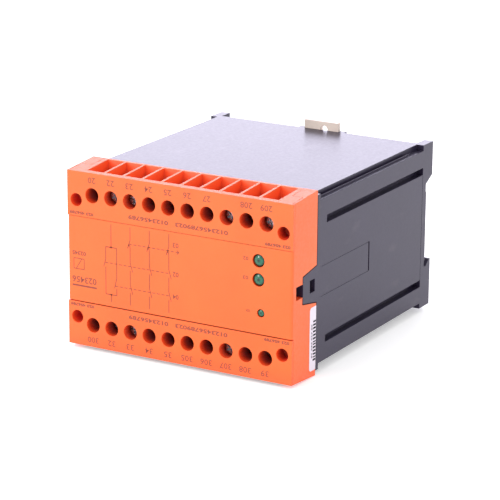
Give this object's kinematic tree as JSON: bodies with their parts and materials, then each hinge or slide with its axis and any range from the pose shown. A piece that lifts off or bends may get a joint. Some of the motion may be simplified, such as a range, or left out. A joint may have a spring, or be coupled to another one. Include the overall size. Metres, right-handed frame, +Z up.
{
  "type": "safety relay",
  "caption": "Box-shaped safety relay module with pull-off screw terminal strips, status lights and a spring latch that clips it to a 35 mm rail.",
  "frame": {"origin": "centre of the bounding box, on the surface that the lower terminal strip stands on", "axes": "+Z up with the rail latch on top and the rail foot below, +Y from the front face to the rail side, +X to the right as seen from the front"},
  "size_m": [0.1, 0.118, 0.0746],
  "materials": {
    "case_plastic": "satin",
    "front_plastic": "satin",
    "light_lens": "gloss",
    "board": "satin",
    "contact_metal": "satin",
    "relay_plastic": "satin",
    "core_steel": "satin",
    "can_metal": "satin",
    "latch_plastic": "satin",
    "screw_steel": "bright"
  },
  "bodies": {
    "housing": {"case": "case_plastic", "front_panel": "front_plastic", "status_light_1": "light_lens", "status_light_2": "light_lens", "status_light_3": "light_lens", "circuit_board_upper": "board", "circuit_board_lower": "board", "contact_blades_upper": "contact_metal", "contact_blades_lower": "contact_metal", "switching_relay_1": "relay_plastic", "switching_relay_2": "relay_plastic", "switching_relay_3": "relay_plastic", "transformer": "core_steel", "capacitor": "can_metal"},
    "strip_upper": {"terminal_strip_upper": "front_plastic", "clamp_row_upper": "contact_metal"},
    "wire_guard_upper_1": {"wire_guard_upper_1": "contact_metal"},
    "terminal_screw_upper_1": {"terminal_screw_upper_1": "screw_steel"},
    "wire_guard_upper_2": {"wire_guard_upper_2": "contact_metal"},
    "terminal_screw_upper_2": {"terminal_screw_upper_2": "screw_steel"},
    "wire_guard_upper_3": {"wire_guard_upper_3": "contact_metal"},
    "terminal_screw_upper_3": {"terminal_screw_upper_3": "screw_steel"},
    "wire_guard_upper_4": {"wire_guard_upper_4": "contact_metal"},
    "terminal_screw_upper_4": {"terminal_screw_upper_4": "screw_steel"},
    "wire_guard_upper_5": {"wire_guard_upper_5": "contact_metal"},
    "terminal_screw_upper_5": {"terminal_screw_upper_5": "screw_steel"},
    "wire_guard_upper_6": {"wire_guard_upper_6": "contact_metal"},
    "terminal_screw_upper_6": {"terminal_screw_upper_6": "screw_steel"},
    "wire_guard_upper_7": {"wire_guard_upper_7": "contact_metal"},
    "terminal_screw_upper_7": {"terminal_screw_upper_7": "screw_steel"},
    "wire_guard_upper_8": {"wire_guard_upper_8": "contact_metal"},
    "terminal_screw_upper_8": {"terminal_screw_upper_8": "screw_steel"},
    "wire_guard_upper_9": {"wire_guard_upper_9": "contact_metal"},
    "terminal_screw_upper_9": {"terminal_screw_upper_9": "screw_steel"},
    "wire_guard_upper_10": {"wire_guard_upper_10": "contact_metal"},
    "terminal_screw_upper_10": {"terminal_screw_upper_10": "screw_steel"},
    "strip_lower": {"terminal_strip_lower": "front_plastic", "clamp_row_lower": "contact_metal"},
    "wire_guard_lower_1": {"wire_guard_lower_1": "contact_metal"},
    "terminal_screw_lower_1": {"terminal_screw_lower_1": "screw_steel"},
    "wire_guard_lower_2": {"wire_guard_lower_2": "contact_metal"},
    "terminal_screw_lower_2": {"terminal_screw_lower_2": "screw_steel"},
    "wire_guard_lower_3": {"wire_guard_lower_3": "contact_metal"},
    "terminal_screw_lower_3": {"terminal_screw_lower_3": "screw_steel"},
    "wire_guard_lower_4": {"wire_guard_lower_4": "contact_metal"},
    "terminal_screw_lower_4": {"terminal_screw_lower_4": "screw_steel"},
    "wire_guard_lower_5": {"wire_guard_lower_5": "contact_metal"},
    "terminal_screw_lower_5": {"terminal_screw_lower_5": "screw_steel"},
    "wire_guard_lower_6": {"wire_guard_lower_6": "contact_metal"},
    "terminal_screw_lower_6": {"terminal_screw_lower_6": "screw_steel"},
    "wire_guard_lower_7": {"wire_guard_lower_7": "contact_metal"},
    "terminal_screw_lower_7": {"terminal_screw_lower_7": "screw_steel"},
    "wire_guard_lower_8": {"wire_guard_lower_8": "contact_metal"},
    "terminal_screw_lower_8": {"terminal_screw_lower_8": "screw_steel"},
    "wire_guard_lower_9": {"wire_guard_lower_9": "contact_metal"},
    "terminal_screw_lower_9": {"terminal_screw_lower_9": "screw_steel"},
    "wire_guard_lower_10": {"wire_guard_lower_10": "contact_metal"},
    "terminal_screw_lower_10": {"terminal_screw_lower_10": "screw_steel"},
    "latch": {"rail_latch": "latch_plastic"}
  },
  "joints": [
    {"name": "upper_strip_slide", "type": "slide", "parent": "housing", "child": "strip_upper", "axis": [0, -1, 0], "range_m": [0, 0.012]},
    {"name": "guard_upper_1_slide", "type": "slide", "parent": "strip_upper", "child": "wire_guard_upper_1", "axis": [0, 1, 0], "range_m": [-0.003, 0]},
    {"name": "screw_upper_1_turn", "type": "hinge", "parent": "wire_guard_upper_1", "child": "terminal_screw_upper_1", "pos_m": [-0.03861, -0.0524, 0.06275], "axis": [0, 1, 0], "range_deg": [-1800, 0]},
    {"name": "guard_upper_2_slide", "type": "slide", "parent": "strip_upper", "child": "wire_guard_upper_2", "axis": [0, 1, 0], "range_m": [0, 0.003]},
    {"name": "screw_upper_2_turn", "type": "hinge", "parent": "wire_guard_upper_2", "child": "terminal_screw_upper_2", "pos_m": [-0.03003, -0.0554, 0.06275], "axis": [0, 1, 0], "range_deg": [0, 1800]},
    {"name": "guard_upper_3_slide", "type": "slide", "parent": "strip_upper", "child": "wire_guard_upper_3", "axis": [0, 1, 0], "range_m": [0, 0.003]},
    {"name": "screw_upper_3_turn", "type": "hinge", "parent": "wire_guard_upper_3", "child": "terminal_screw_upper_3", "pos_m": [-0.02145, -0.0554, 0.06275], "axis": [0, 1, 0], "range_deg": [0, 1800]},
    {"name": "guard_upper_4_slide", "type": "slide", "parent": "strip_upper", "child": "wire_guard_upper_4", "axis": [0, 1, 0], "range_m": [-0.003, 0]},
    {"name": "screw_upper_4_turn", "type": "hinge", "parent": "wire_guard_upper_4", "child": "terminal_screw_upper_4", "pos_m": [-0.01287, -0.0524, 0.06275], "axis": [0, 1, 0], "range_deg": [-1800, 0]},
    {"name": "guard_upper_5_slide", "type": "slide", "parent": "strip_upper", "child": "wire_guard_upper_5", "axis": [0, 1, 0], "range_m": [-0.003, 0]},
    {"name": "screw_upper_5_turn", "type": "hinge", "parent": "wire_guard_upper_5", "child": "terminal_screw_upper_5", "pos_m": [-0.00429, -0.0524, 0.06275], "axis": [0, 1, 0], "range_deg": [-1800, 0]},
    {"name": "guard_upper_6_slide", "type": "slide", "parent": "strip_upper", "child": "wire_guard_upper_6", "axis": [0, 1, 0], "range_m": [-0.003, 0]},
    {"name": "screw_upper_6_turn", "type": "hinge", "parent": "wire_guard_upper_6", "child": "terminal_screw_upper_6", "pos_m": [0.00429, -0.0524, 0.06275], "axis": [0, 1, 0], "range_deg": [-1800, 0]},
    {"name": "guard_upper_7_slide", "type": "slide", "parent": "strip_upper", "child": "wire_guard_upper_7", "axis": [0, 1, 0], "range_m": [-0.003, 0]},
    {"name": "screw_upper_7_turn", "type": "hinge", "parent": "wire_guard_upper_7", "child": "terminal_screw_upper_7", "pos_m": [0.01287, -0.0524, 0.06275], "axis": [0, 1, 0], "range_deg": [-1800, 0]},
    {"name": "guard_upper_8_slide", "type": "slide", "parent": "strip_upper", "child": "wire_guard_upper_8", "axis": [0, 1, 0], "range_m": [0, 0.003]},
    {"name": "screw_upper_8_turn", "type": "hinge", "parent": "wire_guard_upper_8", "child": "terminal_screw_upper_8", "pos_m": [0.02145, -0.0554, 0.06275], "axis": [0, 1, 0], "range_deg": [0, 1800]},
    {"name": "guard_upper_9_slide", "type": "slide", "parent": "strip_upper", "child": "wire_guard_upper_9", "axis": [0, 1, 0], "range_m": [-0.003, 0]},
    {"name": "screw_upper_9_turn", "type": "hinge", "parent": "wire_guard_upper_9", "child": "terminal_screw_upper_9", "pos_m": [0.03003, -0.0524, 0.06275], "axis": [0, 1, 0], "range_deg": [-1800, 0]},
    {"name": "guard_upper_10_slide", "type": "slide", "parent": "strip_upper", "child": "wire_guard_upper_10", "axis": [0, 1, 0], "range_m": [0, 0.003]},
    {"name": "screw_upper_10_turn", "type": "hinge", "parent": "wire_guard_upper_10", "child": "terminal_screw_upper_10", "pos_m": [0.03861, -0.0554, 0.06275], "axis": [0, 1, 0], "range_deg": [0, 1800]},
    {"name": "lower_strip_slide", "type": "slide", "parent": "housing", "child": "strip_lower", "axis": [0, -1, 0], "range_m": [0, 0.012]},
    {"name": "guard_lower_1_slide", "type": "slide", "parent": "strip_lower", "child": "wire_guard_lower_1", "axis": [0, 1, 0], "range_m": [-0.003, 0]},
    {"name": "screw_lower_1_turn", "type": "hinge", "parent": "wire_guard_lower_1", "child": "terminal_screw_lower_1", "pos_m": [-0.03861, -0.0524, 0.01025], "axis": [0, 1, 0], "range_deg": [-1800, 0]},
    {"name": "guard_lower_2_slide", "type": "slide", "parent": "strip_lower", "child": "wire_guard_lower_2", "axis": [0, 1, 0], "range_m": [-0.0018, 0.0012]},
    {"name": "screw_lower_2_turn", "type": "hinge", "parent": "wire_guard_lower_2", "child": "terminal_screw_lower_2", "pos_m": [-0.03003, -0.0536, 0.01025], "axis": [0, 1, 0], "range_deg": [-1080, 720]},
    {"name": "guard_lower_3_slide", "type": "slide", "parent": "strip_lower", "child": "wire_guard_lower_3", "axis": [0, 1, 0], "range_m": [0, 0.003]},
    {"name": "screw_lower_3_turn", "type": "hinge", "parent": "wire_guard_lower_3", "child": "terminal_screw_lower_3", "pos_m": [-0.02145, -0.0554, 0.01025], "axis": [0, 1, 0], "range_deg": [0, 1800]},
    {"name": "guard_lower_4_slide", "type": "slide", "parent": "strip_lower", "child": "wire_guard_lower_4", "axis": [0, 1, 0], "range_m": [-0.003, 0]},
    {"name": "screw_lower_4_turn", "type": "hinge", "parent": "wire_guard_lower_4", "child": "terminal_screw_lower_4", "pos_m": [-0.01287, -0.0524, 0.01025], "axis": [0, 1, 0], "range_deg": [-1800, 0]},
    {"name": "guard_lower_5_slide", "type": "slide", "parent": "strip_lower", "child": "wire_guard_lower_5", "axis": [0, 1, 0], "range_m": [-0.003, 0]},
    {"name": "screw_lower_5_turn", "type": "hinge", "parent": "wire_guard_lower_5", "child": "terminal_screw_lower_5", "pos_m": [-0.00429, -0.0524, 0.01025], "axis": [0, 1, 0], "range_deg": [-1800, 0]},
    {"name": "guard_lower_6_slide", "type": "slide", "parent": "strip_lower", "child": "wire_guard_lower_6", "axis": [0, 1, 0], "range_m": [-0.003, 0]},
    {"name": "screw_lower_6_turn", "type": "hinge", "parent": "wire_guard_lower_6", "child": "terminal_screw_lower_6", "pos_m": [0.00429, -0.0524, 0.01025], "axis": [0, 1, 0], "range_deg": [-1800, 0]},
    {"name": "guard_lower_7_slide", "type": "slide", "parent": "strip_lower", "child": "wire_guard_lower_7", "axis": [0, 1, 0], "range_m": [-0.003, 0]},
    {"name": "screw_lower_7_turn", "type": "hinge", "parent": "wire_guard_lower_7", "child": "terminal_screw_lower_7", "pos_m": [0.01287, -0.0524, 0.01025], "axis": [0, 1, 0], "range_deg": [-1800, 0]},
    {"name": "guard_lower_8_slide", "type": "slide", "parent": "strip_lower", "child": "wire_guard_lower_8", "axis": [0, 1, 0], "range_m": [0, 0.003]},
    {"name": "screw_lower_8_turn", "type": "hinge", "parent": "wire_guard_lower_8", "child": "terminal_screw_lower_8", "pos_m": [0.02145, -0.0554, 0.01025], "axis": [0, 1, 0], "range_deg": [0, 1800]},
    {"name": "guard_lower_9_slide", "type": "slide", "parent": "strip_lower", "child": "wire_guard_lower_9", "axis": [0, 1, 0], "range_m": [-0.003, 0]},
    {"name": "screw_lower_9_turn", "type": "hinge", "parent": "wire_guard_lower_9", "child": "terminal_screw_lower_9", "pos_m": [0.03003, -0.0524, 0.01025], "axis": [0, 1, 0], "range_deg": [-1800, 0]},
    {"name": "guard_lower_10_slide", "type": "slide", "parent": "strip_lower", "child": "wire_guard_lower_10", "axis": [0, 1, 0], "range_m": [-0.003, 0]},
    {"name": "screw_lower_10_turn", "type": "hinge", "parent": "wire_guard_lower_10", "child": "terminal_screw_lower_10", "pos_m": [0.03861, -0.0524, 0.01025], "axis": [0, 1, 0], "range_deg": [-1800, 0]},
    {"name": "latch_slide", "type": "slide", "parent": "housing", "child": "latch", "axis": [0, 0, 1], "range_m": [0, 0.0035], "stiffness_N_per_m": 2500, "springref_m": -0.002}
  ],
  "couplings": [
    {"joint": "screw_upper_1_turn", "follows": "guard_upper_1_slide", "rad_per_m": 10472},
    {"joint": "screw_upper_2_turn", "follows": "guard_upper_2_slide", "rad_per_m": 10472},
    {"joint": "screw_upper_3_turn", "follows": "guard_upper_3_slide", "rad_per_m": 10472},
    {"joint": "screw_upper_4_turn", "follows": "guard_upper_4_slide", "rad_per_m": 10472},
    {"joint": "screw_upper_5_turn", "follows": "guard_upper_5_slide", "rad_per_m": 10472},
    {"joint": "screw_upper_6_turn", "follows": "guard_upper_6_slide", "rad_per_m": 10472},
    {"joint": "screw_upper_7_turn", "follows": "guard_upper_7_slide", "rad_per_m": 10472},
    {"joint": "screw_upper_8_turn", "follows": "guard_upper_8_slide", "rad_per_m": 10472},
    {"joint": "screw_upper_9_turn", "follows": "guard_upper_9_slide", "rad_per_m": 10472},
    {"joint": "screw_upper_10_turn", "follows": "guard_upper_10_slide", "rad_per_m": 10472},
    {"joint": "screw_lower_1_turn", "follows": "guard_lower_1_slide", "rad_per_m": 10472},
    {"joint": "screw_lower_2_turn", "follows": "guard_lower_2_slide", "rad_per_m": 10472},
    {"joint": "screw_lower_3_turn", "follows": "guard_lower_3_slide", "rad_per_m": 10472},
    {"joint": "screw_lower_4_turn", "follows": "guard_lower_4_slide", "rad_per_m": 10472},
    {"joint": "screw_lower_5_turn", "follows": "guard_lower_5_slide", "rad_per_m": 10472},
    {"joint": "screw_lower_6_turn", "follows": "guard_lower_6_slide", "rad_per_m": 10472},
    {"joint": "screw_lower_7_turn", "follows": "guard_lower_7_slide", "rad_per_m": 10472},
    {"joint": "screw_lower_8_turn", "follows": "guard_lower_8_slide", "rad_per_m": 10472},
    {"joint": "screw_lower_9_turn", "follows": "guard_lower_9_slide", "rad_per_m": 10472},
    {"joint": "screw_lower_10_turn", "follows": "guard_lower_10_slide", "rad_per_m": 10472}
  ]
}
